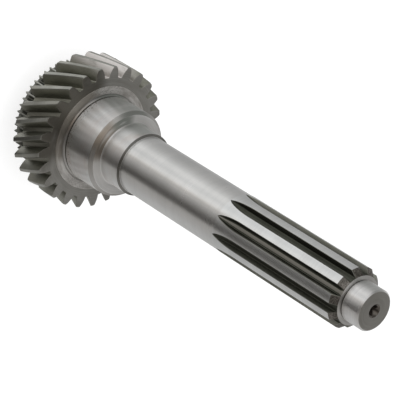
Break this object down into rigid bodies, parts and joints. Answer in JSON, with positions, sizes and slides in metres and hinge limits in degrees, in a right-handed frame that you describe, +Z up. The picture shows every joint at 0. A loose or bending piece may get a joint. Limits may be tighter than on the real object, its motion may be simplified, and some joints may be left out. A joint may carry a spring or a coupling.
{
  "type": "pinion shaft",
  "caption": "Gearbox input pinion shaft in one piece, with a helical pinion, dog teeth, ground bearing seats, a clutch spline and a pilot journal.",
  "frame": {"origin": "centre of the end face at the gear end, which the shaft stands on", "axes": "+Z runs up the shaft's axis to the pilot journal; -Y is the side that faces the camera in the picture"},
  "size_m": [0.1116, 0.1116, 0.347],
  "materials": {
    "steel": "ground seats and spline, dark machined gear teeth"
  },
  "bodies": {
    "root": {"pinion_shaft": "steel"}
  },
  "joints": []
}
